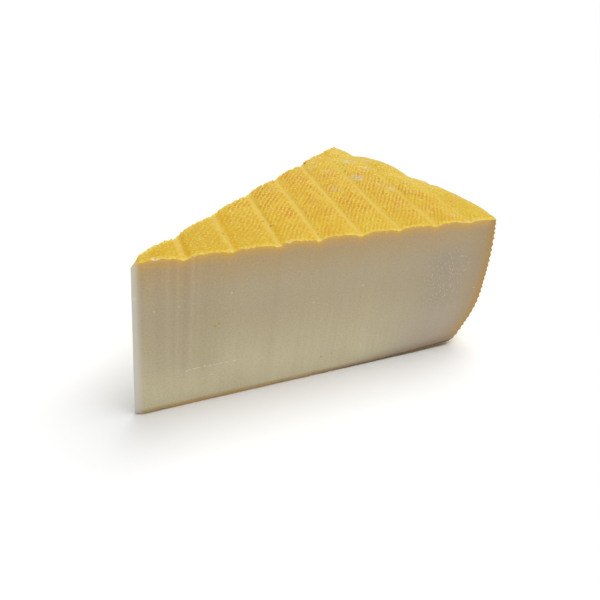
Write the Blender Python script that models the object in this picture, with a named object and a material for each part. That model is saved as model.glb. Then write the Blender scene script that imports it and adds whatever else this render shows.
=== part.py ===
"""A wedge cut from a wheel of washed-rind raclette cheese, about a tenth of the wheel.

Metres, +Z up. The wedge stands on its bottom rind, as it does on a table. Its wide cut face looks
along -Y, with the tip at the -X end and the rim at the +X end. The origin lies on the resting
surface, under the middle of the wedge's box.

The top rind keeps the print of the boards it was pressed on: parallel pillow-shaped bands with a
narrow groove between each two. The rim bulges, with a crisp edge at the top, a rounded foot at the
bottom, and the fine ridges of the cheesecloth around it.
"""

import math

import bmesh
import bpy
from mathutils import Vector

# The wheel
WHEEL_TOP_RADIUS = 0.1605
WHEEL_HEIGHT = 0.0693
WIDEST_RADIUS = 0.1651
WIDEST_HEIGHT = 0.0381
CUT_ANGLE = math.radians(36.5)
RIM_STEPS = 26

# The bottom: flat in the middle, lifting a little towards the rounded foot
FLAT_RADIUS = 0.1184
FOOT_LIFT = 0.0026
FOOT_ROUNDING = 0.0070
FOOT_INSET = 0.0068
LIFT_STEPS = 4
LIFT_CURVE = 1.5
FOOT_STEPS = 5

# The cheesecloth's ridges around the rim
CLOTH_PITCH = 0.0026
CLOTH_DEPTH = 0.0007
CLOTH_STEEPNESS = 0.3

# The board print on top, measured along the front edge from the tip
GROOVE_COUNT = 8
FIRST_GROOVE = 0.0179
GROOVE_PITCH = 0.01806
GROOVE_WIDTH = 0.0026
MIDDLE_GROOVE_DEPTH = 0.0010
OUTER_GROOVE_DEPTH = 0.0016
GROOVE_TURN = math.radians(6.6)
BAND_STEPS = 9
BAND_SKEW = 0.75
CROWN_FLATNESS = 0.7

# How far a guide reaches past the wheel
CLEARANCE = 0.010

RIND_COLOUR = (0.72, 0.44, 0.06, 1.0)
PASTE_COLOUR = (0.78, 0.68, 0.42, 1.0)
RIND_SLOT = 0
PASTE_SLOT = 1


def clear_scene():
    for thing in list(bpy.data.objects):
        bpy.data.objects.remove(thing, do_unlink=True)


def make_material(name, colour, roughness):
    material = bpy.data.materials.new(name)
    material.use_nodes = True
    shader = material.node_tree.nodes["Principled BSDF"]
    shader.inputs["Base Color"].default_value = colour
    shader.inputs["Roughness"].default_value = roughness
    shader.inputs["Metallic"].default_value = 0.0
    return material


def bulge_radius(height):
    """The rim's radius at a height, without the cloth's ridges."""
    drop = (WIDEST_RADIUS - WHEEL_TOP_RADIUS) / (WHEEL_HEIGHT - WIDEST_HEIGHT) ** 2
    return WIDEST_RADIUS - drop * (height - WIDEST_HEIGHT) ** 2


def bottom_points():
    """The wheel's underside from its axis out to the end of the rounded foot."""
    foot_centre = Vector((WHEEL_TOP_RADIUS - FOOT_INSET, FOOT_LIFT + FOOT_ROUNDING))
    points = [(0.0, 0.0)]
    for step in range(LIFT_STEPS):
        share = step / LIFT_STEPS
        radius = FLAT_RADIUS + share * (foot_centre.x - FLAT_RADIUS)
        points.append((radius, FOOT_LIFT * share ** LIFT_CURVE))
    for step in range(FOOT_STEPS + 1):
        turn = math.pi / 2.0 * step / FOOT_STEPS
        points.append((
            foot_centre.x + FOOT_ROUNDING * math.sin(turn),
            foot_centre.y - FOOT_ROUNDING * math.cos(turn),
        ))
    return points


def rim_points(foot_top):
    """The rim from the top of the foot to the top edge: each ridge is steep below and slopes above."""
    ridges = round((WHEEL_HEIGHT - foot_top) / CLOTH_PITCH)
    pitch = (WHEEL_HEIGHT - foot_top) / ridges
    points = []
    for ridge in range(ridges):
        crest = foot_top + pitch * (ridge + CLOTH_STEEPNESS)
        valley = foot_top + pitch * (ridge + 1)
        points.append((bulge_radius(crest), crest))
        points.append((bulge_radius(valley) - CLOTH_DEPTH, valley))
    return points


def wheel_profile():
    """Half of the wheel's cross-section as (radius, height), from the axis round to the axis."""
    bottom = bottom_points()
    rim = rim_points(foot_top=bottom[-1][1])
    rim[-1] = (WHEEL_TOP_RADIUS, WHEEL_HEIGHT)
    top = WHEEL_HEIGHT + CLEARANCE
    return bottom + rim + [(WHEEL_TOP_RADIUS, top), (0.0, top)]


def make_wheel_sector(name, profile, materials):
    """Turn the cross-section about the wheel's axis through the angle between the two cuts."""
    mesh = bpy.data.meshes.new(name)
    shape = bmesh.new()
    corners = [shape.verts.new((radius, 0.0, height)) for radius, height in profile]
    section = shape.faces.new(corners)
    bmesh.ops.spin(
        shape,
        geom=[section] + list(section.edges) + list(section.verts),
        cent=(0.0, 0.0, 0.0),
        axis=(0.0, 0.0, 1.0),
        angle=CUT_ANGLE,
        steps=RIM_STEPS,
        use_duplicate=False,
    )
    bmesh.ops.remove_doubles(shape, verts=shape.verts, dist=0.00001)
    bmesh.ops.dissolve_degenerate(shape, edges=shape.edges, dist=0.00001)
    bmesh.ops.recalc_face_normals(shape, faces=shape.faces)
    for face in shape.faces:
        is_cut = len(face.verts) == len(profile)
        face.material_index = PASTE_SLOT if is_cut else RIND_SLOT
    shape.to_mesh(mesh)
    shape.free()
    for material in materials:
        mesh.materials.append(material)
    sector = bpy.data.objects.new(name, mesh)
    bpy.context.scene.collection.objects.link(sector)
    return sector


def groove_depth(band):
    """The boards pressed deepest at the two ends of the front edge."""
    middle = GROOVE_COUNT / 2.0
    deeper = OUTER_GROOVE_DEPTH - MIDDLE_GROOVE_DEPTH
    return MIDDLE_GROOVE_DEPTH + deeper * ((band - middle) / middle) ** 2


def band_points(start, width, depth):
    """One band's crown across the grooves: it rises fast beside its first groove and falls slowly."""
    points = []
    for step in range(BAND_STEPS + 1):
        share = step / BAND_STEPS
        crown = math.sin(math.pi * share ** BAND_SKEW) ** CROWN_FLATNESS
        points.append((start + share * width, WHEEL_HEIGHT - depth * (1.0 - crown)))
    return points


def make_board_print(name, material):
    """Everything below the printed top, as a guide that reaches a band past each end of the wedge."""
    pitch = GROOVE_PITCH * math.cos(GROOVE_TURN)
    first = FIRST_GROOVE * math.cos(GROOVE_TURN)
    outline = []
    for band in range(-1, GROOVE_COUNT + 2):
        start = first + (band - 1) * pitch + GROOVE_WIDTH / 2.0
        outline += band_points(start, pitch - GROOVE_WIDTH, groove_depth(band))
    outline.append((outline[-1][0], -CLEARANCE))
    outline.append((outline[0][0], -CLEARANCE))

    mesh = bpy.data.meshes.new(name)
    shape = bmesh.new()
    across = Vector((math.cos(GROOVE_TURN), -math.sin(GROOVE_TURN), 0.0))
    along = Vector((math.sin(GROOVE_TURN), math.cos(GROOVE_TURN), 0.0))
    reach = WIDEST_RADIUS + CLEARANCE
    corners = [
        shape.verts.new(across * offset - along * reach + Vector((0.0, 0.0, height)))
        for offset, height in outline
    ]
    end = shape.faces.new(corners)
    swept = bmesh.ops.extrude_face_region(shape, geom=[end])
    moved = [item for item in swept["geom"] if isinstance(item, bmesh.types.BMVert)]
    bmesh.ops.translate(shape, verts=moved, vec=along * 2.0 * reach)
    bmesh.ops.recalc_face_normals(shape, faces=shape.faces)
    shape.to_mesh(mesh)
    shape.free()
    mesh.materials.append(material)
    guide = bpy.data.objects.new(name, mesh)
    bpy.context.scene.collection.objects.link(guide)
    guide.hide_render = True
    guide.display_type = "WIRE"
    return guide


def press_top(wedge, board_print):
    """Keep what lies below the printed top."""
    cut = wedge.modifiers.new("board_print", "BOOLEAN")
    cut.operation = "INTERSECT"
    cut.solver = "EXACT"
    cut.material_mode = "TRANSFER"
    cut.object = board_print


def build():
    clear_scene()
    rind = make_material("rind", RIND_COLOUR, 0.55)
    paste = make_material("paste", PASTE_COLOUR, 0.45)
    profile = wheel_profile()
    wedge = make_wheel_sector("cheese_wedge", profile, (rind, paste))
    board_print = make_board_print("board_print_guide", rind)
    press_top(wedge, board_print)

    reach = max(radius for radius, height in profile)
    middle = Vector((reach / 2.0, reach * math.sin(CUT_ANGLE) / 2.0, 0.0))
    wedge.location = -middle
    board_print.location = -middle


build()
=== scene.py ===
"""The looks of a raclette cheese wedge: its printed rind, its cut paste, a pale floor, soft light.

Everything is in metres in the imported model's frame. The surface is worked out in the wheel's own
coordinates: the wheel's axis is the wedge's tip edge, x runs from the tip along the front cut,
y runs away from the front cut, and height is measured from the table.
"""

import math

import bpy
import numpy as np
from mathutils import Matrix, Vector


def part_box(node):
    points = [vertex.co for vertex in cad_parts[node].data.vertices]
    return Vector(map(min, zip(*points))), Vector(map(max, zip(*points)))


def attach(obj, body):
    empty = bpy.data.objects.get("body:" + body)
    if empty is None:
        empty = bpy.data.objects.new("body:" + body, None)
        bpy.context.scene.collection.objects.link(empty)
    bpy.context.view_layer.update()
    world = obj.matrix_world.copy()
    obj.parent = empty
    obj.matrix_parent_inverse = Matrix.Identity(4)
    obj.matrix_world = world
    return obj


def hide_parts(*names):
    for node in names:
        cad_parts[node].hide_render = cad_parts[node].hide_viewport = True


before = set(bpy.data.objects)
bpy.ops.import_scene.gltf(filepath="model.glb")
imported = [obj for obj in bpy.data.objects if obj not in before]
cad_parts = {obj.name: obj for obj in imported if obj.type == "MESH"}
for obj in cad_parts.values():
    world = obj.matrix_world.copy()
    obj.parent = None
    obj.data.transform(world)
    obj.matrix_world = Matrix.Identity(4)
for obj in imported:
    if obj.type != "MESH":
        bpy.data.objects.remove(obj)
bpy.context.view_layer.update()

MM = 0.001
TURN = 2.0 * math.pi
NODE = "cheese_wedge"

# The wheel, read from the frame where its box gives it
LOW, HIGH = (Vector(corner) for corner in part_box(NODE))
TIP = Vector((LOW.x, LOW.y, 0.0))
CROWN_HEIGHT = HIGH.z
WIDEST_RADIUS = HIGH.x - LOW.x
CUT_ANGLE = math.asin((HIGH.y - LOW.y) / WIDEST_RADIUS)
TOP_RADIUS = 0.9725 * WIDEST_RADIUS
EDGE_HEIGHT = CROWN_HEIGHT - 0.7 * MM

# The rim's section from under its top edge to the end of its foot: inset from the widest, height
RIM_SECTION = (
    (3.0, 61.5), (1.5, 53.0), (0.6, 45.0), (0.25, 36.0), (0.15, 28.5), (0.75, 22.6),
    (2.4, 17.0), (4.7, 11.9), (6.9, 7.4), (8.9, 4.2), (11.0, 2.8), (13.6, 2.3),
)
FOOT_RADIUS = WIDEST_RADIUS - RIM_SECTION[-1][0] * MM
FOOT_LIFT = RIM_SECTION[-1][1] * MM
FLAT_RADIUS = 108.0 * MM

# The board print on top: groove feet along the front edge, heights of the grooves and the bands
GROOVE_FEET = (-18.4, -0.2, 18.1, 35.4, 54.1, 71.5, 90.0, 108.4, 127.2, 144.9, 163.0, 181.0)
GROOVE_LEVELS = (68.3, 68.3, 67.7, 68.4, 68.5, 68.6, 68.4, 68.6, 68.4, 67.6, 67.9, 67.9)
BAND_LEVELS = (69.3, 69.3, 69.2, 69.4, 69.8, 69.8, 69.6, 69.6, 69.5, 68.9, 68.9)
GROOVE_LEAN = 0.142
GROOVE_LEAN_LOSS = 0.065
LEAN_REACH = 145.0 * MM
GROOVE_HALF = 1.2 * MM
GROOVE_WANDER = 0.3 * MM
LOSS_SLOPE = 1.94
LOSS_SPAN = (0.255, 0.300)
FLOOR_SHIFT = 0.4 * MM
FLOOR_FRAY = 0.5 * MM

# A band's crown: how it leans to one side, its sharpness, and where it turns rounder near the rim
CROWN_LEAN = 0.8
CROWN_SHARPNESS = 0.42
CROWN_ROUNDER = 0.5
ROUNDER_SPAN = (125.0 * MM, 148.0 * MM)

# The top's edge along the rim: degrees from the front cut, height
RIM_EDGE = (
    (0.0, 68.3), (4.0, 69.0), (10.0, 68.6), (13.9, 68.2), (15.2, 67.4), (16.5, 67.7), (20.0, 66.6),
    (23.0, 68.4), (26.3, 69.0), (30.0, 68.3), (32.2, 66.9), (34.0, 68.2), (36.5, 68.5),
)

# How far the underside lifts off the table along the front cut: distance from the tip, lift
FRONT_LIFTS = (
    (0.0, 0.70), (2.0, 0.35), (5.0, 0.20), (7.0, 0.40), (9.5, 0.60), (11.5, 0.50), (13.5, 0.10),
    (19.0, 0.00), (26.5, 0.00), (28.5, 0.20), (30.5, 0.32), (32.3, 0.05), (36.0, 0.00), (43.0, 0.00),
    (46.0, 0.42), (49.5, 0.60), (51.5, 0.20), (55.0, 0.20), (58.0, 0.42), (60.5, 0.45), (62.0, 0.00),
    (64.0, 0.20), (67.7, 0.72), (70.5, 0.40), (72.8, 0.00), (104.0, 0.00), (114.0, 0.15), (120.0, 0.00),
)

# Where the front cut's bottom edge is chipped
FRONT_CHIPS = (77.3, 87.2)
CHIP_HEIGHT = 0.8 * MM

# The cloth print: twill ridges of small knots, in cycles per metre along x and y
RIDGE_WAVE = (478.0, -366.0)
KNOT_WAVE = (478.0, 733.0)
TOP_WEAVE = 0.22 * MM
RIM_WEAVE = 1.35 * MM
BOTTOM_WEAVE = 0.30 * MM
# How the threads wander: distance, and the size of a bend
THREAD_BENDS = ((0.8 * MM, 22.0 * MM), (0.25 * MM, 3.7 * MM))

# The rim's print, by the distance down from the top edge: it fades at the edge and at the foot
EDGE_FADE = (0.2 * MM, 3.5 * MM)
FOOT_FADE = (72.0 * MM, 60.0 * MM)
RIM_SWELL = 0.3 * MM

# How the cuts leave the wheel's two planes: a blunt tip, and a second cut that isn't quite radial
TIP_FACET = 2.6 * MM
TIP_SHIFT = 0.7 * MM
TIP_SHIFT_REACH = 6.0 * MM
TIP_LEAN = 0.6 * MM
TIP_LEAN_REACH = 9.0 * MM
TIP_DROP = 1.5 * MM
FRONT_CRUMBLE = 0.6 * MM
BACK_CRUMBLE = 0.8 * MM
BACK_PLACES = (0.0, 6.0, 155.0)
BACK_OFFSETS = (1.3, 1.7, -0.4)

# What the knife left on a cut: height, length along the cut, length up the cut
KNIFE_WAVE = (0.15 * MM, 34.0 * MM, 60.0 * MM)
KNIFE_DRAG = (0.03 * MM, 3.2 * MM, 70.0 * MM)
EDGE_BURR = (0.16 * MM, 0.9 * MM, 8.0 * MM)

# Distances between the mesh's vertices
TOP_STEP = 0.417 * MM
RIM_STEP = 0.50 * MM
RIM_COLUMN = 0.86 * MM
BOTTOM_STEP = 0.8 * MM
BOTTOM_COLUMN = 1.25 * MM
FRONT_COLUMN = 1.6 * MM
BACK_COLUMN = 2.4 * MM
SPLINE_STEPS = 24
TINY = 1e-9

# Shares of the way down a cut, or along its rows, that follow the top, the underside, rim and tip
TOP_RELIEF = (0.0, 0.16)
LOW_RELIEF = (0.84, 1.0)
RIM_SHARE = (0.93, 1.0)
TIP_SHARE = (0.0, 0.1)

TOP, RIM, BOTTOM, FRONT_CUT, BACK_CUT = range(5)
RIND_SLOT, FRONT_SLOT, BACK_SLOT = range(3)
PRINT_VALUES = 5


class Seed:
    """Where each random pattern starts."""

    TOP_PRINT = 3
    BOTTOM_PRINT = 5
    TOP_THREADS = 11
    RIM_THREADS = 13
    BOTTOM_THREADS = 17
    TOP_SWELL = 21
    RIM_SWELL = 23
    CRUMBLE = 27
    TOP_GRAIN = 31
    UNEVEN_WEAVE = 33
    TOP_PATCHES = 41
    RIM_PATCHES = 43
    FRONT_KNIFE = 51
    BACK_KNIFE = 61


# Smooth noise over arrays of coordinates
def noise(x, y, seed):
    """Value noise between -1 and 1 with cells of one unit."""
    size = 256
    lattice = np.random.default_rng(seed).uniform(-1.0, 1.0, (size, size))
    column, row = np.floor(x).astype(int), np.floor(y).astype(int)
    across, up = x - column, y - row
    across = across ** 3 * (across * (across * 6.0 - 15.0) + 10.0)
    up = up ** 3 * (up * (up * 6.0 - 15.0) + 10.0)
    left, right = column % size, (column + 1) % size
    near, far = row % size, (row + 1) % size
    low = lattice[near, left] * (1.0 - across) + lattice[near, right] * across
    high = lattice[far, left] * (1.0 - across) + lattice[far, right] * across
    return low * (1.0 - up) + high * up


def fractal(x, y, seed, octaves=3):
    """Noise with finer noise on it, between -1 and 1."""
    total, weight = 0.0, 0.0
    for octave in range(octaves):
        share = 0.5 ** octave
        total = total + share * noise(x * 2.0 ** octave, y * 2.0 ** octave, seed + octave)
        weight += share
    return total / weight


def smooth_step(value, start, end):
    share = np.clip((value - start) / (end - start), 0.0, 1.0)
    return share * share * (3.0 - 2.0 * share)


# The print on the rind
def weave_phases(x, y, seed):
    """Where a point lies in the twill: cycles across the ridges and cycles along their knots."""
    bent_x, bent_y = x, y
    for distance, bend in THREAD_BENDS:
        bent_x = bent_x + distance * noise(x / bend, y / bend, seed)
        bent_y = bent_y + distance * noise(x / bend, y / bend, seed + 1)
    across = RIDGE_WAVE[0] * bent_x + RIDGE_WAVE[1] * bent_y
    along = KNOT_WAVE[0] * bent_x + KNOT_WAVE[1] * bent_y
    return across, along


def weave_height(across, along):
    """Between -0.5 in the valleys and 0.5 on the knots."""
    ridge = 0.5 + 0.5 * np.cos(TURN * across)
    knot = 0.5 + 0.5 * np.cos(TURN * along)
    return ridge * (0.45 + 0.55 * knot) - 0.5


def groove_loss(x, y):
    """How far the grooves are lost in the rind, towards the wheel's far rim."""
    return smooth_step(LOSS_SLOPE * x + y, *LOSS_SPAN)


def board_print(x, y, seed):
    """The printed height, how much a point is on a groove's floor, and on the rise beside it."""
    lost = groove_loss(x, y)
    lean = GROOVE_LEAN - GROOVE_LEAN_LOSS * (x / LEAN_REACH) ** 2
    across = x - y * lean + GROOVE_WANDER * noise(x / (9.0 * MM), y / (24.0 * MM), seed)
    feet = np.array(GROOVE_FEET) * MM
    count = np.interp(across, feet, np.arange(len(feet)))
    band = np.clip(np.floor(count).astype(int), 0, len(feet) - 2)
    after, before = across - feet[band], feet[band + 1] - across
    share = np.clip((after - GROOVE_HALF) / (after + before - 2.0 * GROOVE_HALF), 0.0, 1.0)
    sharpness = CROWN_SHARPNESS + CROWN_ROUNDER * smooth_step(np.hypot(x, y), *ROUNDER_SPAN)
    crown = np.clip(np.sin(math.pi * share ** CROWN_LEAN), 0.0, 1.0) ** sharpness
    crown = crown * smooth_step(after, 0.2 * MM, 3.4 * MM)
    crown = crown + 0.5 * (1.0 - crown) * lost
    groove = np.interp(count, np.arange(len(feet)), GROOVE_LEVELS) * MM
    crest = np.array(BAND_LEVELS)[band] * MM
    edge = np.minimum(np.abs(after - FLOOR_SHIFT), before + FLOOR_SHIFT)
    edge = edge + FLOOR_FRAY * fractal(x / (1.7 * MM), y / (1.7 * MM), seed + 1)
    floor = 1.0 - smooth_step(edge, 0.7 * GROOVE_HALF, 1.3 * GROOVE_HALF)
    floor = floor * (1.0 - 0.6 * lost)
    rise = smooth_step(after, 0.8 * MM, 1.6 * MM) * (1.0 - smooth_step(after, 2.0 * MM, 4.6 * MM))
    rise = rise * (1.0 - lost)
    return groove + (crest - groove) * crown, floor, rise


def dent(x, y, place, size):
    """1 in the middle of a round place given in millimetres, 0 beyond its size."""
    distance = np.hypot(x - place[0] * MM, y - place[1] * MM)
    return 1.0 - smooth_step(distance, 0.0, size * MM)


def top_shape(x, y):
    """The top's height without the cloth's weave, and its groove floors and rises."""
    height, floor, rise = board_print(x, y, Seed.TOP_PRINT)
    radius = np.hypot(x, y)
    height = height + 0.12 * MM * fractal(x / (22.0 * MM), y / (22.0 * MM), Seed.TOP_SWELL)
    turn = np.arctan2(y, x)
    degrees, edge_height = np.array(RIM_EDGE).T
    edge_height = np.interp(np.degrees(turn), degrees, edge_height) * MM
    to_edge = smooth_step(radius, TOP_RADIUS - 14.0 * MM, TOP_RADIUS - 1.0 * MM)
    height = height + (edge_height - height) * to_edge
    tip_reach = 1.5 * MM + 5.5 * MM * turn / CUT_ANGLE
    height = height - TIP_DROP * (1.0 - smooth_step(radius / tip_reach, 0.1, 1.0))
    crumble = np.abs(fractal(x / (2.0 * MM), y / (2.5 * MM), Seed.CRUMBLE, 2))
    from_back = x * math.sin(CUT_ANGLE) - y * math.cos(CUT_ANGLE)
    height = height - FRONT_CRUMBLE * crumble * (1.0 - smooth_step(y, 0.0, 1.2 * MM))
    height = height + BACK_CRUMBLE * (0.4 - crumble) * (1.0 - smooth_step(from_back, 0.0, 2.0 * MM))
    return height, floor, rise


def weave_left(x, y):
    """How much of the weave is left on top: it is worn near the far corner, the rim and the tip."""
    radius = np.hypot(x, y)
    rim = 1.0 - 0.75 * smooth_step(x + 0.22 * y, 0.139, 0.156)
    far = 1.0 - 0.6 * smooth_step(y + 0.35 * (x - 0.11), 0.052, 0.078)
    edge = 1.0 - 0.8 * smooth_step(radius, TOP_RADIUS - 7.0 * MM, TOP_RADIUS - 1.0 * MM)
    tip = 0.5 + 0.5 * smooth_step(x, 0.030, 0.070)
    patches = 0.85 + 0.45 * fractal(x / (7.0 * MM), y / (7.0 * MM), Seed.TOP_PATCHES)
    return rim * far * edge * tip * patches


def top_surface(x, y):
    """The top's height at each point, its print and its zones."""
    height, floor, rise = top_shape(x, y)
    across, along = weave_phases(x, y, Seed.TOP_THREADS)
    strength = weave_left(x, y) * (1.0 - floor)
    uneven = 1.0 + 0.8 * noise(x / (1.9 * MM), y / (1.9 * MM), Seed.UNEVEN_WEAVE)
    grain = 0.10 * MM * fractal(x / (1.3 * MM), y / (1.3 * MM), Seed.TOP_GRAIN, 2)
    grain = grain * (1.0 - 0.6 * floor)
    height = height + grain + TOP_WEAVE * strength * uneven * weave_height(across, along)
    return height, (across, along, strength, floor, rise)


def bottom_surface(x, y):
    """How far the underside's print lies above its lowest plane, and the print."""
    height, floor, rise = board_print(x + 7.0 * MM, -y, Seed.BOTTOM_PRINT)
    across, along = weave_phases(x, -y, Seed.BOTTOM_THREADS)
    strength = 0.75 * (1.0 - floor)
    lift = 0.18 * np.clip(CROWN_HEIGHT - height, 0.0, 2.0 * MM)
    lift = lift + BOTTOM_WEAVE * strength * (0.5 - weave_height(across, along))
    front = 1.0 - smooth_step(y, 0.5 * MM, 5.0 * MM)
    places, front_lifts = np.array(FRONT_LIFTS).T * MM
    lift = lift * (1.0 - 0.5 * front) + np.interp(x, places, front_lifts) * front
    for place in FRONT_CHIPS:
        chip = 1.0 - smooth_step(np.abs(x - place * MM), 0.5 * MM, 1.3 * MM)
        lift = lift + CHIP_HEIGHT * chip * (1.0 - smooth_step(y, 0.3 * MM, 1.9 * MM))
    return lift, (across, along, strength, floor, rise)


def rim_surface(turn, depth):
    """How far the rim's cloth print stands out at each point, and the print."""
    around = turn * WIDEST_RADIUS
    across, along = weave_phases(around, -depth, Seed.RIM_THREADS)
    across = across + 0.10 * np.sin(TURN * across)
    below_edge = smooth_step(depth, *EDGE_FADE)
    above_foot = smooth_step(depth, *FOOT_FADE)
    patches = 0.85 + 0.25 * fractal(around / (12.0 * MM), depth / (9.0 * MM), Seed.RIM_PATCHES)
    strength = below_edge * (0.25 + 0.75 * above_foot) * patches
    swell = RIM_SWELL * fractal(around / (30.0 * MM), depth / (22.0 * MM), Seed.RIM_SWELL)
    swell = swell * below_edge * above_foot
    out = RIM_WEAVE * strength * weave_height(across, along) + swell
    blank = np.zeros_like(across)
    return out, (across, along, strength, blank, blank)


def rim_section():
    """The rim's section as evenly spaced radii, heights and outward directions, by spline."""
    inset, height = np.array(RIM_SECTION).T * MM
    radius = np.concatenate([[TOP_RADIUS], WIDEST_RADIUS - inset])
    height = np.concatenate([[EDGE_HEIGHT], height])
    knots = np.stack([radius, height], 1)
    ahead = np.vstack([2.0 * knots[0] - knots[1], knots, 2.0 * knots[-1] - knots[-2]])
    points = []
    for index in range(len(knots) - 1):
        first, second, third, fourth = ahead[index:index + 4]
        for share in np.linspace(0.0, 1.0, SPLINE_STEPS, endpoint=False):
            points.append(0.5 * (
                2.0 * second + (third - first) * share
                + (2.0 * first - 5.0 * second + 4.0 * third - fourth) * share ** 2
                + (3.0 * second - first - 3.0 * third + fourth) * share ** 3
            ))
    points = np.array([*points, knots[-1]])
    length = np.concatenate([[0.0], np.cumsum(np.hypot(*np.diff(points, axis=0).T))])
    even = np.linspace(0.0, length[-1], round(length[-1] / RIM_STEP) + 1)
    radius, height = (np.interp(even, length, points[:, axis]) for axis in (0, 1))
    slope = np.stack([np.gradient(radius), np.gradient(height)], 1)
    slope /= np.linalg.norm(slope, axis=1, keepdims=True)
    return even, radius, height, -slope[:, 1], slope[:, 0]


def rim_radius(section, height):
    """The rim's radius at a height, from its section."""
    _, radius, heights, _, _ = section
    return np.interp(height, heights[::-1], radius[::-1])


def underside(radius):
    """The underside's height before its print: flat, then lifting towards the foot."""
    share = np.clip((radius - FLAT_RADIUS) / (FOOT_RADIUS - FLAT_RADIUS), 0.0, 1.0)
    return FOOT_LIFT * share


def knife_mark(mark, along, height, seed):
    size, length, rise = mark
    return size * noise(along / length, height / rise, seed)


def cut_ripple(region, along, height):
    """How far a cut face stands out of its plane: the knife's slow waves and fine drag lines."""
    seed = Seed.FRONT_KNIFE if region == FRONT_CUT else Seed.BACK_KNIFE
    wave = knife_mark(KNIFE_WAVE, along, height, seed)
    drag = knife_mark(KNIFE_DRAG, along, height, seed + 1)
    near_top = smooth_step(height, CROWN_HEIGHT - 2.2 * MM, CROWN_HEIGHT - 1.0 * MM)
    burr = knife_mark(EDGE_BURR, along, height, seed + 2) * near_top
    return wave + drag + burr


class Row:
    """One line of the surface's vertices, in the wheel's cylinder coordinates."""

    def __init__(self, region, radius, turn, height, share, reach=0.0, prints=None):
        self.region = region
        self.radius = radius
        self.turn = turn
        self.height = height
        self.share = share
        self.reach = reach
        self.prints = prints
        self.numbers = None


class Surface:
    """The vertices with their print, and the triangles with their region and bake places."""

    def __init__(self):
        self.points = []
        self.prints = []
        self.triangles = []
        self.regions = []
        self.places = []
        self.count = 0

    def add(self, points, prints):
        self.points.append(points)
        self.prints.append(prints)
        numbers = list(range(self.count, self.count + len(points)))
        self.count += len(points)
        return numbers

    def stitch(self, first, second, region):
        """Triangles between two rows of vertices, matched by how far along their row they are."""
        first_places = map_places(region, first)
        second_places = map_places(region, second)
        first_share = [*first.share.tolist(), 2.0]
        second_share = [*second.share.tolist(), 2.0]
        near, far = 0, 0
        while near < len(first.numbers) - 1 or far < len(second.numbers) - 1:
            corners = [first.numbers[near], second.numbers[far]]
            places = [first_places[near], second_places[far]]
            first_middle = first_share[near + 1] + first_share[near]
            if first_middle <= second_share[far + 1] + second_share[far]:
                near += 1
                corners.append(first.numbers[near])
                places.append(first_places[near])
            else:
                far += 1
                corners.append(second.numbers[far])
                places.append(second_places[far])
            step = -1 if region == BACK_CUT else 1
            self.triangles.append(corners[::step])
            self.places.append(places[::step])
            self.regions.append(region)


# The bake map: a rectangle of the unit square for each region, as (left, bottom, enlargement)
MAP_SIDE = 0.345
MAP_CHARTS = {
    TOP: (4.0 * MM, 4.0 * MM, 1.5),
    RIM: (253.0 * MM, 4.0 * MM, 1.2),
    FRONT_CUT: (4.0 * MM, 157.0 * MM, 1.0),
    BACK_CUT: (174.0 * MM, 157.0 * MM, 1.0),
    BOTTOM: (4.0 * MM, 233.0 * MM, 1.0),
}


def map_places(region, row):
    """Where a row's vertices lie on the bake map, as part of a region."""
    if region in (TOP, BOTTOM):
        across, up = row.radius * np.cos(row.turn), row.radius * np.sin(row.turn)
    elif region == RIM:
        across, up = np.full_like(row.turn, row.reach), row.turn * WIDEST_RADIUS
    else:
        across, up = row.radius, row.height
    left, bottom, enlargement = MAP_CHARTS[region]
    across = (left + enlargement * across) / MAP_SIDE
    up = (bottom + enlargement * up) / MAP_SIDE
    return list(zip(across.tolist(), up.tolist()))


def arc_turns(radius, step):
    if radius == 0.0:
        return np.zeros(1)
    return np.linspace(0.0, CUT_ANGLE, max(2, round(radius * CUT_ANGLE / step) + 1))


def top_rows():
    """Arcs from the tip out to the rim's edge."""
    count = round(TOP_RADIUS / TOP_STEP)
    for step in range(count + 1):
        radius = TOP_RADIUS * step / count
        turn = arc_turns(radius, TOP_STEP)
        height, prints = top_surface(radius * np.cos(turn), radius * np.sin(turn))
        yield Row(TOP, np.full_like(turn, radius), turn, height, turn / CUT_ANGLE, prints=prints)


def rim_rows(section):
    """Arcs from under the rim's edge down to the end of the foot."""
    turn = arc_turns(WIDEST_RADIUS, RIM_COLUMN)
    edge_height, _, _ = top_shape(TOP_RADIUS * np.cos(turn), TOP_RADIUS * np.sin(turn))
    for depth, radius, height, out, up in list(zip(*section))[1:]:
        print_height, prints = rim_surface(turn, depth)
        print_height = print_height * smooth_step(section[0][-1] - depth, 0.0, 4.0 * MM)
        blend = 1.0 - smooth_step(depth, 0.0, 11.0 * MM)
        height = height + (edge_height - EDGE_HEIGHT) * blend + up * print_height
        radius = radius + out * print_height
        yield Row(RIM, radius, turn, height, turn / CUT_ANGLE, reach=depth, prints=prints)


def bottom_rows():
    """Arcs from the foot back to the tip."""
    count = round(FOOT_RADIUS / BOTTOM_STEP)
    for step in range(1, count + 1):
        radius = FOOT_RADIUS * (count - step) / count
        turn = arc_turns(radius, BOTTOM_COLUMN)
        lift, prints = bottom_surface(radius * np.cos(turn), radius * np.sin(turn))
        lift = lift * smooth_step(FOOT_RADIUS - radius, 0.0, 6.0 * MM)
        height = underside(radius) + lift
        yield Row(BOTTOM, np.full_like(turn, radius), turn, height, turn / CUT_ANGLE, prints=prints)


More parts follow.
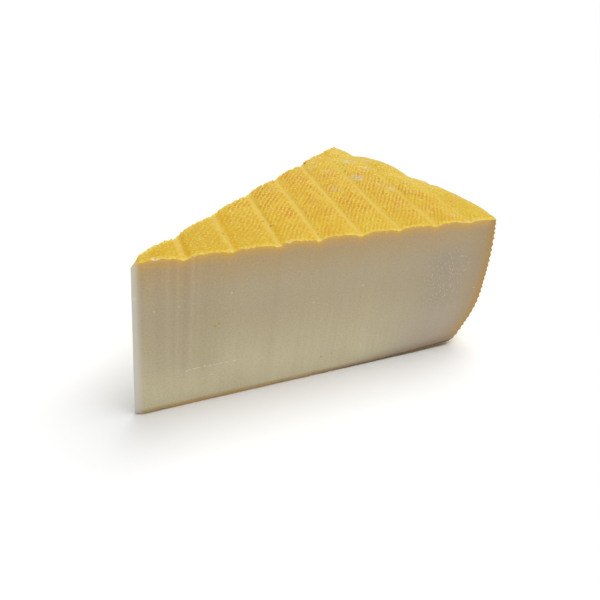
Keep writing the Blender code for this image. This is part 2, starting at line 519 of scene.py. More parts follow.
def to_frame(radius, turn, height, on_front, on_back):
    """Points of the frame: the blunt tip, the second cut's drift and both cuts' ripples are added."""
    share = turn / CUT_ANGLE
    along = np.array([math.cos(CUT_ANGLE), math.sin(CUT_ANGLE)])
    outward = np.array([-along[1], along[0]])
    front_near = np.clip(1.0 - radius / TIP_FACET, 0.0, 1.0)
    back_near = 1.0 - smooth_step(radius, 0.0, TIP_SHIFT_REACH)
    offset = np.interp(radius / MM, BACK_PLACES, BACK_OFFSETS) * MM
    offset = offset * (share + (1.0 - share) * front_near)
    shift = TIP_SHIFT * (share * back_near + (1.0 - share) * front_near)
    lean = TIP_LEAN * (1.0 - height / CROWN_HEIGHT) * (1.0 - smooth_step(radius, 0.0, TIP_LEAN_REACH))
    front = np.where(on_front, cut_ripple(FRONT_CUT, radius, height), 0.0)
    back = np.where(on_back, cut_ripple(BACK_CUT, radius, height), 0.0) + offset
    x = radius * np.cos(turn) + back * outward[0] + shift * along[0] - lean
    y = radius * np.sin(turn) + back * outward[1] + shift * along[1] - front
    return np.stack([x + TIP.x, y + TIP.y, height], 1)


def add_rind(surface, section):
    """The whole rind, as rows stitched one to the next."""
    rows = [*top_rows(), *rim_rows(section), *bottom_rows()]
    for row in rows:
        on_back = (row.turn >= CUT_ANGLE - TINY) | (row.radius <= 0.0)
        points = to_frame(row.radius, row.turn, row.height, row.turn <= 0.0, on_back)
        row.numbers = surface.add(points, np.stack(row.prints, 1))
    for first, second in zip(rows, rows[1:]):
        surface.stitch(first, second, second.region)
    return rows


def cut_shares(column):
    """Places along a cut face's row, from the tip at 0 to the rim at 1: closer near both ends."""
    near_tip = [0.0, 0.9 * MM, 1.8 * MM, TIP_FACET, 3.4 * MM, 4.8 * MM]
    near_rim = [6.0 * MM, 4.5 * MM, 3.2 * MM, 2.1 * MM, 1.3 * MM, 0.6 * MM, 0.0]
    start, end = near_tip[-1], WIDEST_RADIUS - near_rim[0]
    middle = np.linspace(start, end, round((end - start) / column) + 1)[1:-1]
    places = [*near_tip, *middle, *(WIDEST_RADIUS - gap for gap in near_rim)]
    return np.array(places) / WIDEST_RADIUS


def edge_row(rows, region, end):
    """One cut's end of the rind's rows of a region, as a row."""
    picked = [row for row in rows if row.region == region]
    radius = np.array([row.radius[end] for row in picked])
    height = np.array([row.height[end] for row in picked])
    turn = np.array([row.turn[end] for row in picked])
    edge = Row(region, radius, turn, height, radius / radius.max())
    edge.numbers = [row.numbers[end] for row in picked]
    return edge


def add_tip_edge(surface, rows):
    """The vertices of the edge where the two cuts meet, one for each row of the rim, from the top."""
    rim = edge_row(rows, RIM, 0)
    top, bottom = rows[0].height[0], rows[-1].height[0]
    height = top + (bottom - top) * np.arange(1, len(rim.height)) / len(rim.height)
    blank = np.zeros_like(height)
    on_both = np.ones_like(height, dtype=bool)
    points = to_frame(blank, blank, height, on_both, on_both)
    return surface.add(points, np.zeros((len(points), PRINT_VALUES))), height


def add_cut(surface, rows, region, column, tip_numbers, tip_height):
    """One cut face, as rows from the tip edge to the rim that go from the top to the underside."""
    end, turn = (0, 0.0) if region == FRONT_CUT else (-1, CUT_ANGLE)
    top, rim, low = (edge_row(rows, part, end) for part in (TOP, RIM, BOTTOM))
    last = Row(region, np.append(low.radius[::-1], rim.radius[-1]), None,
               np.append(low.height[::-1], rim.height[-1]), None)
    last.share = last.radius / last.radius[-1]
    last.numbers = [*low.numbers[::-1], rim.numbers[-1]]

    lines = [top]
    thinning = {0: len(top.radius), 1: len(top.radius) // 2}
    for step, (rim_radius, rim_height) in enumerate(zip(rim.radius[:-1], rim.height[:-1])):
        share = np.linspace(0.0, 1.0, thinning[step]) if step in thinning else cut_shares(column)
        radius = np.minimum(share * rim_radius, TOP_RADIUS)
        above, _, _ = top_shape(radius * math.cos(turn), radius * math.sin(turn))
        below = np.interp(radius, last.radius, last.height)
        even = (step + 1) / len(rim.radius)
        start = above[-1] + (above - above[-1]) * (1.0 - smooth_step(even, *TOP_RELIEF))
        finish = underside(radius) + (below - underside(radius)) * smooth_step(even, *LOW_RELIEF)
        down = (above[-1] - rim_height) / (above[-1] - rim.height[-1])
        down = even + (down - even) * smooth_step(share, *RIM_SHARE)
        height = start + (finish - start) * down
        height = height + (tip_height[step] - height[0]) * (1.0 - smooth_step(share, *TIP_SHARE))
        line = Row(region, share * rim_radius, np.full_like(share, turn), height, share)
        on_front = np.full(len(share) - 2, region == FRONT_CUT)
        inside = slice(1, len(share) - 1)
        radius, turns = line.radius[inside], line.turn[inside]
        points = to_frame(radius, turns, height[inside], on_front, ~on_front)
        inner = surface.add(points, np.zeros((len(points), PRINT_VALUES)))
        line.numbers = [tip_numbers[step], *inner, rim.numbers[step]]
        lines.append(line)
    lines.append(last)
    for first, second in zip(lines, lines[1:]):
        surface.stitch(first, second, region)


# Marks on the top, as place x, y and size in millimetres, and a bloom's strength
BLOOM_SPREAD = 1.7
PIT_SPREAD = 1.3
BLOOMS = (
    (118.9, 52.4, 3.2, 1.0), (124.3, 73.0, 2.4, 0.9), (128.2, 71.4, 2.0, 0.8), (136.6, 73.1, 2.2, 0.9),
    (130.2, 62.6, 2.0, 0.9), (129.3, 38.8, 2.2, 0.8), (100.4, 42.1, 2.8, 0.45), (106.3, 73.8, 2.0, 0.7),
    (101.1, 67.5, 1.6, 0.6), (107.9, 61.5, 2.4, 0.45), (125.5, 42.3, 1.8, 0.6), (141.3, 43.1, 2.0, 0.6),
    (84.9, 33.9, 2.6, 0.25), (69.0, 45.2, 2.2, 0.4), (72.6, 47.0, 2.2, 0.4), (141.6, 7.2, 1.3, 0.8),
    (136.3, 32.1, 0.9, 0.9), (144.3, 36.2, 2.2, 0.35), (155.0, 22.8, 2.0, 0.3), (139.8, 10.8, 2.2, 0.3),
    (113.3, 53.6, 1.4, 0.4), (131.7, 68.1, 1.5, 0.4), (113.9, 84.3, 1.3, 0.5), (134.0, 57.0, 2.0, 0.35),
    (7.8, 0.3, 1.3, 0.9), (10.5, 0.3, 1.2, 0.9), (54.5, 0.2, 0.9, 0.8), (58.2, 0.2, 0.9, 0.8),
    (140.5, 0.3, 1.1, 1.0), (145.3, 0.3, 1.2, 1.0), (150.6, 0.3, 1.1, 0.9),
)
PITS = (
    (101.4, 74.0, 1.3), (77.3, 57.9, 0.8), (117.2, 61.4, 0.75), (137.7, 57.9, 0.7), (137.6, 66.2, 0.7),
    (129.6, 50.5, 0.8), (136.4, 29.1, 0.7), (144.8, 24.1, 0.8), (150.1, 20.2, 0.7), (125.6, 14.3, 0.8),
    (71.6, 27.5, 0.8), (104.0, 20.6, 0.9), (109.0, 23.7, 1.0), (56.7, 20.7, 0.7), (57.7, 15.5, 0.7),
    (37.4, 14.2, 0.7), (60.3, 32.9, 0.6), (73.1, 4.9, 0.6),
)


# The share of the way to the rim's surface that is square to it, and limits in millimetres
RIM_SLOPE = 0.87
FARTHEST = 20.0
DEEPEST = 60.0


def rind_marks(points):
    """Pale blooms and dark pits on the top, and how far each point is from a cut, in millimetres."""
    x, y, height = (points - np.array(TIP)).T
    on_top = (height > CROWN_HEIGHT - 4.0 * MM).astype(float)
    bloom, pit = np.zeros_like(x), np.zeros_like(x)
    for place_x, place_y, size, strength in BLOOMS:
        bloom = np.maximum(bloom, strength * dent(x, y, (place_x, place_y), BLOOM_SPREAD * size))
    for place_x, place_y, size in PITS:
        pit = np.maximum(pit, dent(x, y, (place_x, place_y), PIT_SPREAD * size))
    from_back = x * math.sin(CUT_ANGLE) - y * math.cos(CUT_ANGLE) + 1.5 * MM
    from_cut = np.clip(np.minimum(y, from_back) / MM, 0.0, FARTHEST)
    return np.stack([bloom * on_top, pit * on_top, from_cut], 1)


def rind_depths(points, section):
    """How deep each point lies under the top, the rim and the underside, in millimetres."""
    x, y, height = (points - np.array(TIP)).T
    radius = np.hypot(x, y)
    under_top = top_shape(x, y)[0] - height
    over_bottom = height - underside(radius)
    in_rim = RIM_SLOPE * (rim_radius(section, height) - radius)
    return np.clip(np.stack([under_top, in_rim, over_bottom], 1) / MM, 0.0, DEEPEST)


def make_mesh(surface, section, name):
    """The Blender mesh, with its attributes, sharp cut edges and bake map."""
    points = np.concatenate(surface.points)
    prints = np.concatenate(surface.prints)
    triangles = np.array(surface.triangles)
    regions = np.array(surface.regions)
    mesh = bpy.data.meshes.new(name)
    mesh.from_pydata(points.tolist(), [], triangles.tolist())
    layers = {
        "print": prints[:, :3],
        "zone": np.pad(prints[:, 3:], ((0, 0), (0, 1))),
        "marks": rind_marks(points),
        "depth": rind_depths(points, section),
    }
    for layer_name, values in layers.items():
        layer = mesh.attributes.new(layer_name, "FLOAT_VECTOR", "POINT")
        layer.data.foreach_set("vector", values.astype(np.float32).ravel())
    slots = np.where(regions == BACK_CUT, BACK_SLOT, RIND_SLOT)
    slots = np.where(regions == FRONT_CUT, FRONT_SLOT, slots)
    mesh.polygons.foreach_set("material_index", slots.astype(np.int32))
    mesh.shade_smooth()
    mark_sharp(mesh, triangles, regions)
    places = np.array(surface.places, dtype=np.float32)
    layer = mesh.uv_layers.new(name="OFBake", do_init=False)
    layer.uv.foreach_set("vector", places.ravel())
    mesh.update()
    return mesh


def mark_sharp(mesh, triangles, regions):
    """The cuts' outlines and the rim's top edge are sharp; the foot is round."""
    smooth_group = np.where(regions == BOTTOM, RIM, regions)
    corners = np.stack([triangles, np.roll(triangles, -1, axis=1)], 2).reshape(-1, 2)
    keys = np.sort(corners, axis=1)
    groups = np.repeat(smooth_group, 3)
    order = np.lexsort((keys[:, 1], keys[:, 0]))
    keys, groups = keys[order], groups[order]
    pair = (keys[:-1] == keys[1:]).all(1)
    sharp_keys = keys[:-1][pair & (groups[:-1] != groups[1:])]
    sharp = {tuple(key) for key in sharp_keys.tolist()}
    for edge in mesh.edges:
        if tuple(sorted(edge.vertices)) in sharp:
            edge.use_edge_sharp = True


# Materials
MIX_SOCKETS = (0, 6, 7)
MIX_COLOUR = 2
PLAIN_NUMBERS = ("DISTANCE", "DOT_PRODUCT", "LENGTH")


class Graph:
    """The node tree of a material or the world, with one short call for each kind of node."""

    def __init__(self, owner, shader="Principled BSDF"):
        self.owner = owner
        owner.use_nodes = True
        self.tree = owner.node_tree
        self.shader = self.tree.nodes[shader]

    def node(self, kind, inputs=None, **settings):
        made = self.tree.nodes.new(kind)
        for key, value in settings.items():
            setattr(made, key, value)
        for key, value in (inputs or {}).items():
            self.feed(made.inputs[key], value)
        return made

    def feed(self, socket, value):
        if isinstance(value, bpy.types.NodeSocket):
            self.tree.links.new(value, socket)
        elif value is not None:
            socket.default_value = value

    def shade(self, values):
        """Set the shader's own inputs, or link them."""
        for key, value in values.items():
            self.feed(self.shader.inputs[key], value)

    def math(self, operation, first, second=None, third=None, clamp=False):
        made = self.node("ShaderNodeMath", operation=operation, use_clamp=clamp)
        for socket, value in zip(made.inputs, (first, second, third)):
            self.feed(socket, value)
        return made.outputs[0]

    def times(self, first, second, clamp=False):
        return self.math("MULTIPLY", first, second, clamp=clamp)

    def wave(self, cycles, size):
        """A wave of a size that reaches up to 1."""
        turned = self.math("COSINE", self.times(cycles, TURN))
        return self.math("MULTIPLY_ADD", turned, size, 1.0 - size)

    def vector(self, operation, first, second=None):
        made = self.node("ShaderNodeVectorMath", operation=operation)
        self.feed(made.inputs[0], first)
        self.feed(made.inputs[1], second)
        return made.outputs["Value" if operation in PLAIN_NUMBERS else "Vector"]

    def fade(self, value, start, end, low=0.0, high=1.0):
        """low up to start, high from end on, and a smooth change between them."""
        made = self.node("ShaderNodeMapRange", {
            "Value": value, "From Min": start, "From Max": end, "To Min": low, "To Max": high,
        }, interpolation_type="SMOOTHSTEP")
        return made.outputs["Result"]

    def mix(self, share, first, second):
        """The first colour at a share of 0, the second at 1."""
        made = self.node("ShaderNodeMix", data_type="RGBA")
        for number, value in zip(MIX_SOCKETS, (share, first, second)):
            self.feed(made.inputs[number], value)
        return made.outputs[MIX_COLOUR]

    def tint(self, colour, target, share, amount):
        """A colour moved towards another by a share of an amount."""
        return self.mix(self.times(share, amount), colour, target)

    def noise(self, vector, size, detail=2.0, roughness=0.5, distortion=0.0):
        """Noise between about 0 and 1 with features of a size in metres."""
        made = self.node("ShaderNodeTexNoise", {
            "Vector": vector, "Scale": 1.0 / size, "Detail": detail,
            "Roughness": roughness, "Distortion": distortion,
        })
        return made.outputs[0]

    def attribute(self, name):
        """The three values of an attribute of the mesh."""
        return self.split(self.node("ShaderNodeAttribute", attribute_name=name).outputs["Vector"])

    def split(self, vector):
        return self.node("ShaderNodeSeparateXYZ", {"Vector": vector}).outputs[:3]

    def join(self, x, y, z):
        return self.node("ShaderNodeCombineXYZ", {"X": x, "Y": y, "Z": z}).outputs[0]

    def place(self, kind="Object"):
        return self.node("ShaderNodeTexCoord").outputs[kind]

    def bump(self, height, distance, strength=1.0, before=None):
        made = self.node("ShaderNodeBump", {
            "Height": height, "Distance": distance, "Strength": strength, "Normal": before,
        })
        return made.outputs[0]

    def within(self, value, span, soft):
        """1 inside a span, 0 outside it, changing smoothly over a distance at each end."""
        low, high = span
        return self.times(self.fade(value, low, low + soft), self.fade(value, high, high - soft))

    def nicks(self, along, height):
        """Short slanted nicks, thickly scattered, drawn as painted highlights."""
        slant = self.math("MULTIPLY_ADD", height, 0.8, along)
        length = self.math("MULTIPLY_ADD", along, -0.25, self.times(height, 0.25))
        flecks = self.noise(self.join(slant, length, 0.0), 0.55 * MM, 1.5)
        return self.fade(flecks, 0.57, 0.72)

    def broken_line(self, along, height):
        """A long thin scratch low on the face near the tip, torn into short pieces."""
        start, end, level = BROKEN_LINE
        shaky = self.noise(self.join(along, 0.0, 0.0), 2.5 * MM, 2.0)
        shaken = self.math("MULTIPLY_ADD", shaky, 1.6 * MM, height)
        aside = self.math("SUBTRACT", shaken, level + 0.8 * MM)
        line = self.fade(self.math("ABSOLUTE", aside), 0.45 * MM, 0.10 * MM)
        torn = self.fade(self.noise(self.join(along, height, 0.0), 1.1 * MM, 1.0), 0.40, 0.58)
        line = self.times(line, torn)
        return self.times(line, self.within(along, (start, end), 3.0 * MM))

    def spots(self, vector, places):
        """1 in the middle of each small round place, given as x, height and size in millimetres."""
        total = None
        for x, height, size in places:
            distance = self.vector("DISTANCE", vector, (x * MM, height * MM, 0.0))
            spot = self.fade(distance, size * MM, 0.3 * size * MM)
            total = spot if total is None else self.math("MAXIMUM", total, spot)
        return total


def srgb(red, green, blue):
    """A colour as a shader wants it, from values of 0 to 255 as a screen shows them."""
    def linear(value):
        value = value / 255.0
        return value / 12.92 if value <= 0.04045 else ((value + 0.055) / 1.055) ** 2.4
    return (linear(red), linear(green), linear(blue), 1.0)


# Colours of the rind
WORN_RIND = srgb(217, 186, 52)
# The weave's valleys and knots: print colour, partly painted shade in the valleys and light on the knots
VALLEY_TONE_AND_SHADE = srgb(207, 135, 2)
KNOT_TONE_AND_LIGHT = srgb(231, 208, 86)
ORANGE_PATCH = srgb(209, 161, 12)
PALE_PATCH = srgb(224, 194, 74)
TIP_RIND = srgb(200, 160, 42)
# Orange beside the grooves, made lighter as painted light against the slopes' shade
INNER_RISE_LIT = srgb(230, 176, 16)
OUTER_RISE_LIT = srgb(240, 202, 70)
GROOVE = srgb(222, 190, 86)
DARK_DOT = srgb(210, 134, 6)
SPECKLE_AND_GLINT = srgb(242, 226, 152)
LOW_RIND = srgb(178, 122, 46)
CRUMB_AND_HIGHLIGHT = srgb(232, 212, 92)
RIM_DUST = srgb(236, 222, 172)
BLOOM_SHADE = srgb(190, 172, 120)
DRY_BLOOM = srgb(216, 216, 202)
# Painted light on the blunt tip
LIT_TIP_RIND = srgb(220, 214, 188)
PIT = srgb(160, 104, 34)

# Colours of the paste
# The paste's cream, lighter low on a cut as painted bounce light from the floor
UPPER_PASTE = srgb(191, 175, 138)
LOWER_PASTE_BOUNCE_LIT = srgb(216, 206, 168)
# Painted sheen: greyer paste towards the rim, higher and lower up the cut
UPPER_SHEEN_GREY = srgb(178, 162, 136)
LOWER_SHEEN_GREY = srgb(180, 166, 150)
CLOUD = srgb(192, 172, 140)
STREAK = srgb(172, 148, 116)
DRAGGED = srgb(168, 152, 116)
TOP_TAN = srgb(194, 164, 113)
RIM_TAN = srgb(180, 152, 108)
TOP_GOLD = srgb(212, 168, 88)
TOP_EDGE = srgb(228, 178, 66)
RIM_GOLD = srgb(190, 146, 66)
RIM_EDGE_GOLD = srgb(192, 140, 32)
FOOT_SHADE = srgb(140, 120, 94)
INNER_TAN = srgb(190, 162, 106)
OUTER_TAN = srgb(162, 140, 108)
INNER_FRINGE = srgb(190, 148, 66)
OUTER_FRINGE = srgb(104, 76, 40)
DARK_STREAK = srgb(164, 134, 108)
PALE_STREAK = srgb(222, 206, 178)
DARK_GRAIN = srgb(160, 143, 108)
PALE_GRAIN = srgb(236, 226, 200)
# Painted light on the blunt tip
LIT_TIP_PASTE = srgb(224, 220, 206)
# Painted sheen greying the nicked part of the front cut, then the nicks' painted highlights
NICKED_SHEEN = srgb(150, 132, 108)
NICK_HIGHLIGHT = srgb(238, 228, 206)
WHITE_SPECK = srgb(240, 232, 212)
BROWN_SPECK = srgb(190, 146, 30)


def rind_material():
    """Golden washed rind: knots lighter than the valleys, partly print and partly painted light and
    shade, pale smooth grooves, dry grey blooms.
    """
    graph = Graph(bpy.data.materials.new("rind"))
    place = graph.place()
    across, along, strength = graph.attribute("print")
    floor, rise, _ = graph.attribute("zone")
    bloom, pit, from_cut = graph.attribute("marks")
    under_top, in_rim, over_bottom = graph.attribute("depth")

    weave = graph.times(graph.wave(across, 0.5), graph.wave(along, 0.35))
    fine = graph.noise(place, 0.8 * MM, 2.0, 0.6)
    patchy = graph.fade(graph.noise(place, 5.0 * MM, 3.0, 0.6), 0.34, 0.60, 0.35, 1.1)
    clear = graph.times(strength, patchy, clamp=True)
    from_front = graph.math("SUBTRACT", graph.split(place)[1], TIP.y)
    clear = graph.times(clear, graph.fade(from_front, 0.002, 0.022, 0.6, 1.0))
    grainy = graph.math("MULTIPLY_ADD", graph.math("SUBTRACT", fine, 0.5), 2.2, weave)

    # The weave's colours: partly print, partly painted shade in the valleys and light on the knots
    woven_tone_and_light = graph.mix(graph.fade(grainy, 0.03, 0.76), VALLEY_TONE_AND_SHADE, KNOT_TONE_AND_LIGHT)
    colour = graph.mix(clear, WORN_RIND, woven_tone_and_light)
    tone = graph.fade(graph.noise(place, 15.0 * MM, 3.0, 0.55), 0.38, 0.64)
    colour = graph.tint(colour, ORANGE_PATCH, tone, 0.40)
    pale = graph.fade(graph.noise(place, 6.0 * MM, 2.0, 0.5), 0.50, 0.72)
    colour = graph.tint(colour, PALE_PATCH, pale, 0.30)
    tip_distance = graph.vector("DISTANCE", place, tuple(TIP))
    near_tip = graph.fade(tip_distance, 0.100, 0.074, 0.0, 0.45)
    colour = graph.mix(near_tip, colour, TIP_RIND)
    # Beside each groove's rise: an orange tone, lightened as painted light against the slope's shade,
    # most near the outer grooves
    rise_tone_and_light = graph.mix(graph.fade(tip_distance, 0.085, 0.106), INNER_RISE_LIT, OUTER_RISE_LIT)
    colour = graph.tint(colour, rise_tone_and_light, rise, 0.5)
    strip = graph.times(floor, graph.fade(fine, 0.30, 0.55, 0.65, 1.0))
    colour = graph.mix(strip, colour, GROOVE)
    dark = graph.fade(graph.noise(place, 1.0 * MM, 2.0, 0.6), 0.44, 0.30)
    colour = graph.tint(colour, DARK_DOT, dark, 0.5)
    # Pale granules on the knots, partly painted glints
    speckle_and_glint = graph.fade(graph.noise(place, 0.85 * MM, 2.0, 0.6), 0.53, 0.66)
    limits = (
        (clear, 0.1, 0.7, 0.90, 0.60), (floor, 0.0, 0.7, 1.0, 0.3),
        (from_front, 0.010, 0.060, 0.45, 0.90),
    )
    for limit in limits:
        speckle_and_glint = graph.times(speckle_and_glint, graph.fade(*limit))
    colour = graph.mix(speckle_and_glint, colour, SPECKLE_AND_GLINT)

    colour = graph.mix(graph.fade(over_bottom, 5.0, 0.5, 0.0, 0.55), colour, LOW_RIND)

    # Along the cuts' edges: light crumbs, partly a painted highlight on the rind's edge
    crumbs = graph.noise(place, 0.9 * MM, 3.0, 0.7)
    edge = graph.times(graph.fade(from_cut, 2.4, 0.3), graph.fade(crumbs, 0.36, 0.58))
    colour = graph.tint(colour, CRUMB_AND_HIGHLIGHT, edge, 0.7)
    granules = graph.noise(place, 1.1 * MM, 3.0, 0.7)
    outer = graph.times(graph.fade(in_rim, 4.0, 0.4), graph.fade(under_top, 1.6, 0.5))
    outer = graph.times(outer, graph.fade(granules, 0.48, 0.64))
    colour = graph.tint(colour, RIM_DUST, outer, 0.45)
    colour = graph.mix(graph.fade(bloom, 0.1, 1.0, 0.0, 0.4), colour, BLOOM_SHADE)
    dry = graph.times(graph.fade(bloom, 0.1, 0.8), graph.fade(granules, 0.48, 0.60))
    colour = graph.mix(dry, colour, DRY_BLOOM)
    # Painted light on the blunt tip: the rind turns pale as if lit from the side
    from_tip = graph.vector("SUBTRACT", place, tuple(TIP))
    level_with_tip = graph.vector("MULTIPLY", from_tip, (1.0, 1.0, 0.0))
    lit_rind_tip = graph.fade(graph.vector("LENGTH", level_with_tip), 2.0 * MM, 1.2 * MM)
    colour = graph.tint(colour, LIT_TIP_RIND, lit_rind_tip, 0.8)
    colour = graph.mix(graph.fade(pit, 0.25, 0.75, 0.0, 0.8), colour, PIT)

    relief = graph.times(graph.fade(grainy, 0.0, 0.9), clear)
    normal = graph.bump(relief, 0.20 * MM, 0.75)
    graph.shade({
        "Base Color": colour, "Roughness": 0.55, "Specular IOR Level": 0.15,
        "Subsurface Weight": 0.05, "Subsurface Radius": (1.0, 0.75, 0.35),
        "Subsurface Scale": 0.8 * MM, "Normal": graph.bump(fine, 0.20 * MM, 0.5, normal),
    })
    return graph.owner


# Marks on the front cut, in millimetres: x, height and size of each speck
WHITE_SPECKS = (
    (7.2, 47.9, 0.45), (36.6, 51.0, 0.5), (72.8, 40.0, 0.4), (95.7, 44.4, 0.45), (29.8, 13.1, 0.5),
    (0.6, 53.9, 0.9), (16.3, 48.5, 0.4), (131.8, 44.0, 0.45), (142.9, 44.6, 0.5), (143.9, 36.8, 0.45),
    (142.6, 31.2, 0.5), (159.3, 32.6, 0.5), (146.3, 51.5, 0.45), (151.0, 47.7, 0.4), (150.0, 43.6, 0.45),
    (19.8, 17.4, 0.7), (27.1, 18.2, 0.6), (39.8, 17.8, 0.7),
)
# The scratch's start, end and height
BROKEN_LINE = (18.0 * MM, 42.0 * MM, 17.9 * MM)
# Where a painted sheen greys the nicked part of the front cut
NICKED_SHEEN_SPAN = (118.0 * MM, 161.0 * MM)
NICKED_SHEEN_HEIGHT = (20.0 * MM, 62.0 * MM)
# Each streak's place, half width and strength: a strength below 0 is a streak lighter than the paste
KNIFE_STREAKS = (
    (8.6, 2.2, 0.10), (14.3, 1.0, 0.10), (18.8, 2.0, 0.22), (27.0, 1.4, 0.08), (55.0, 1.8, 0.08),
    (12.2, 1.3, -0.10), (15.8, 0.9, -0.12), (21.3, 1.3, -0.13), (23.8, 1.0, -0.08),
)
BROWN_SPECKS = (
    (30.6, 36.9, 0.8), (32.1, 37.7, 0.7), (80.8, 10.0, 0.6), (85.7, 10.6, 0.5), (34.9, 41.9, 0.45),
)


def paste_material(name, cut_turn, marked):
    """Cream paste, tanned towards the rind, with the knife's drag lines, and painted light: lighter low
    down, a grey sheen towards the rim and a pale blunt tip.
    """
    graph = Graph(bpy.data.materials.new(name))
    place = graph.place()
    under_top, in_rim, over_bottom = graph.attribute("depth")
    from_tip = graph.vector("SUBTRACT", place, tuple(TIP))
    direction = (math.cos(cut_turn), math.sin(cut_turn), 0.0)
    along = graph.vector("DOT_PRODUCT", from_tip, direction)
    height = graph.split(place)[2]
    face = graph.join(along, height, 0.0)

    # Painted bounce light: the paste turns lighter towards the bottom
    colour = graph.mix(graph.fade(height, 0.045, 0.006), UPPER_PASTE, LOWER_PASTE_BOUNCE_LIT)
    # Painted sheen: the paste turns greyer towards the rim
    grey_sheen = graph.fade(along, 0.095, 0.145)
    grey_sheen = graph.times(grey_sheen, graph.fade(height, 0.000, 0.030, 0.9, 0.75))
    grey_sheen_colour = graph.mix(graph.fade(height, 0.034, 0.012), UPPER_SHEEN_GREY, LOWER_SHEEN_GREY)
    colour = graph.mix(grey_sheen, colour, grey_sheen_colour)
    cloud = graph.fade(graph.noise(face, 26.0 * MM, 2.0, 0.5), 0.35, 0.65)
    colour = graph.tint(colour, CLOUD, cloud, 0.25)

    stretched = graph.join(along, graph.times(height, 0.03), 0.0)
    streak = graph.fade(graph.noise(stretched, 3.0 * MM, 2.0, 0.6), 0.42, 0.62)
    colour = graph.tint(colour, STREAK, streak, 0.08)
    dragged = graph.within(along, (0.003, 0.036), 0.006)
    dragged = graph.times(dragged, graph.fade(height, 0.010, 0.024))
    colour = graph.tint(colour, DRAGGED, dragged, 0.22)

    wavy = graph.math("SUBTRACT", graph.noise(face, 4.0 * MM, 2.0, 0.5), 0.5)
    top_depth = graph.math("MULTIPLY_ADD", wavy, 1.2, under_top)
    bottom_depth = graph.math("MULTIPLY_ADD", wavy, 0.8, over_bottom)
    bottom_depth = graph.times(bottom_depth, graph.fade(along, 0.110, 0.150, 1.0, 0.8))
    layers = (
        (top_depth, 19.0, 3.0, 0.9, TOP_TAN), (in_rim, 16.0, 3.0, 0.85, RIM_TAN),
        (top_depth, 5.0, 1.2, 1.0, TOP_GOLD), (top_depth, 1.6, 0.3, 1.0, TOP_EDGE),
        (in_rim, 5.0, 1.0, 1.0, RIM_GOLD), (in_rim, 1.8, 0.3, 1.0, RIM_EDGE_GOLD),
    )
    for depth, inner, outer, most, tone in layers:
        colour = graph.mix(graph.fade(depth, inner, outer, 0.0, most), colour, tone)
    shaded = graph.times(graph.fade(along, 0.090, 0.116), graph.fade(over_bottom, 6.5, 1.5))
    colour = graph.tint(colour, FOOT_SHADE, shaded, 0.45)
    outer_half = graph.fade(along, 0.070, 0.106)
    tan = graph.mix(outer_half, INNER_TAN, OUTER_TAN)
    colour = graph.mix(graph.fade(bottom_depth, 3.4, 0.9), colour, tan)
    fringe = graph.mix(outer_half, INNER_FRINGE, OUTER_FRINGE)
    colour = graph.mix(graph.fade(bottom_depth, 1.4, 0.4), colour, fringe)
    for place_x, width, amount in KNIFE_STREAKS:
        aside = graph.math("ABSOLUTE", graph.math("SUBTRACT", along, place_x * MM))
        line = graph.times(graph.fade(aside, width * MM, 0.0), graph.fade(height, 0.004, 0.030))
        tone = DARK_STREAK if amount > 0.0 else PALE_STREAK
        colour = graph.tint(colour, tone, line, abs(amount))
    grain = graph.noise(face, 0.63 * MM, 4.0, 0.75, 0.6)
    colour = graph.mix(graph.fade(grain, 0.52, 0.30, 0.0, 0.40), colour, DARK_GRAIN)
    colour = graph.mix(graph.fade(grain, 0.50, 0.72, 0.0, 0.20), colour, PALE_GRAIN)
    # Painted light on the blunt tip: the paste turns pale as if lit from the side
    lit_paste_tip = graph.fade(along, 3.0 * MM, 0.2 * MM)
    colour = graph.tint(colour, LIT_TIP_PASTE, lit_paste_tip, 0.85)

    if marked:
        # Painted sheen over the nicked part of the front cut
        nicked_sheen = graph.within(along, NICKED_SHEEN_SPAN, 22.0 * MM)
        nicked_sheen = graph.times(nicked_sheen, graph.within(height, NICKED_SHEEN_HEIGHT, 12.0 * MM))
        colour = graph.tint(colour, NICKED_SHEEN, nicked_sheen, 0.20)
        # The nicks' pale dashes are painted highlights
        nicks = graph.times(graph.nicks(along, height), nicked_sheen)
        colour = graph.tint(colour, NICK_HIGHLIGHT, nicks, 0.5)
        scratch = graph.broken_line(along, height)
        white = graph.math("MAXIMUM", graph.spots(face, WHITE_SPECKS), scratch)
        colour = graph.tint(colour, WHITE_SPECK, white, 0.5)
        colour = graph.tint(colour, BROWN_SPECK, graph.spots(face, BROWN_SPECKS), 0.7)

    graph.shade({
        "Base Color": colour, "Roughness": 0.42, "Subsurface Weight": 0.10,
        "Subsurface Radius": (1.0, 0.85, 0.6), "Subsurface Scale": 1.2 * MM,
        "Normal": graph.bump(graph.noise(face, 1.6 * MM, 4.0, 0.6), 0.05 * MM, 0.4),
    })
    return graph.owner


def make_wedge():
    surface = Surface()
    section = rim_section()
    rows = add_rind(surface, section)
    tip_numbers, tip_height = add_tip_edge(surface, rows)
    for region, column in ((FRONT_CUT, FRONT_COLUMN), (BACK_CUT, BACK_COLUMN)):
        add_cut(surface, rows, region, column, tip_numbers, tip_height)
    mesh = make_mesh(surface, section, "raclette_wedge")
    wedge = bpy.data.objects.new("raclette_wedge", mesh)
    bpy.context.scene.collection.objects.link(wedge)
    mesh.materials.append(rind_material())
    mesh.materials.append(paste_material("paste_front", 0.0, True))
    mesh.materials.append(paste_material("paste_back", CUT_ANGLE, False))
    return wedge


# The stage
FLOOR_REACH = 12.0


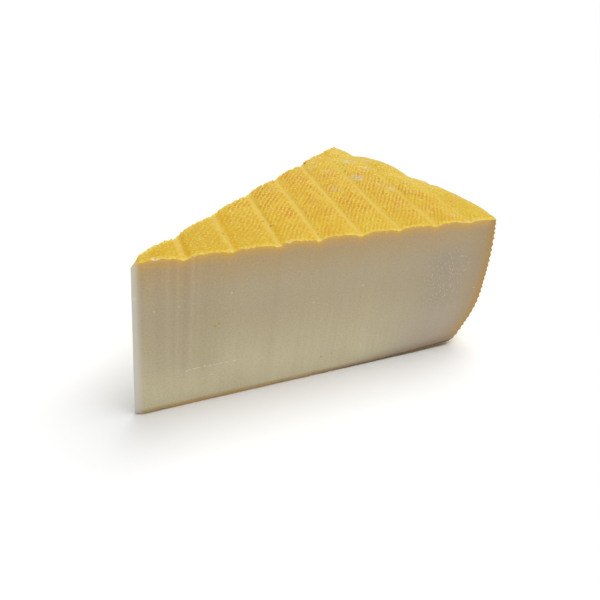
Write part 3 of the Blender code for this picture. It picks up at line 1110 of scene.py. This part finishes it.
def make_floor():
    mesh = bpy.data.meshes.new("floor")
    signs = ((-1, -1), (1, -1), (1, 1), (-1, 1))
    corners = [(x * FLOOR_REACH, y * FLOOR_REACH, 0.0) for x, y in signs]
    mesh.from_pydata(corners, [], [(0, 1, 2, 3)])
    floor = bpy.data.objects.new("floor", mesh)
    bpy.context.scene.collection.objects.link(floor)
    graph = Graph(bpy.data.materials.new("pale_floor"))
    graph.shade({
        "Base Color": (0.92, 0.92, 0.92, 1.0), "Roughness": 0.9, "Specular IOR Level": 0.1,
    })
    mesh.materials.append(graph.owner)
    return floor


def make_soft_light(direction, spread, strength):
    """A very wide soft light from far away, which shines along a direction."""
    light = bpy.data.lights.new("overhead", "SUN")
    light.angle = spread
    light.energy = strength
    lamp = bpy.data.objects.new("overhead", light)
    lamp.rotation_euler = Vector(direction).to_track_quat("-Z", "Y").to_euler()
    bpy.context.scene.collection.objects.link(lamp)


def make_world(overhead, horizon):
    """A studio's backdrop: bright behind the floor's far edge, dimmer overhead."""
    graph = Graph(bpy.data.worlds.new("studio"), "Background")
    height = graph.split(graph.place("Generated"))[2]
    strength = graph.fade(height, 0.06, 0.30, horizon, overhead)
    graph.shade({"Color": (1.0, 1.0, 1.0, 1.0), "Strength": strength})
    bpy.context.scene.world = graph.owner


def make_camera():
    """The photograph's view, solved from the wedge's corners, grooves and rim."""
    scale = 160.0 * MM
    top_plane = 68.5 * MM
    place = TIP + Vector((-0.24923 * scale, -1.14834 * scale, top_plane + 0.67711 * scale))
    right = Vector((0.893758, -0.434455, 0.111564))
    down = Vector((-0.150993, -0.525611, -0.837218))
    forward = Vector((0.422373, 0.731425, -0.535369))
    turn = Matrix((right, -down, -forward)).transposed().to_4x4()
    camera = bpy.data.objects.new("camera", bpy.data.cameras.new("camera"))
    camera.matrix_world = Matrix.Translation(place) @ turn
    camera.data.sensor_width = 36.0
    camera.data.lens = 37.495
    camera.data.clip_start = 0.01
    bpy.context.scene.collection.objects.link(camera)
    bpy.context.scene.camera = camera


bpy.context.scene.view_settings.view_transform = "Standard"
wedge = make_wedge()
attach(wedge, "root")
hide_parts(NODE)
floor = make_floor()
make_soft_light(direction=(-0.28, -0.06, -1.0), spread=math.radians(50.0), strength=3.05)
make_world(overhead=0.16, horizon=1.0)
make_camera()
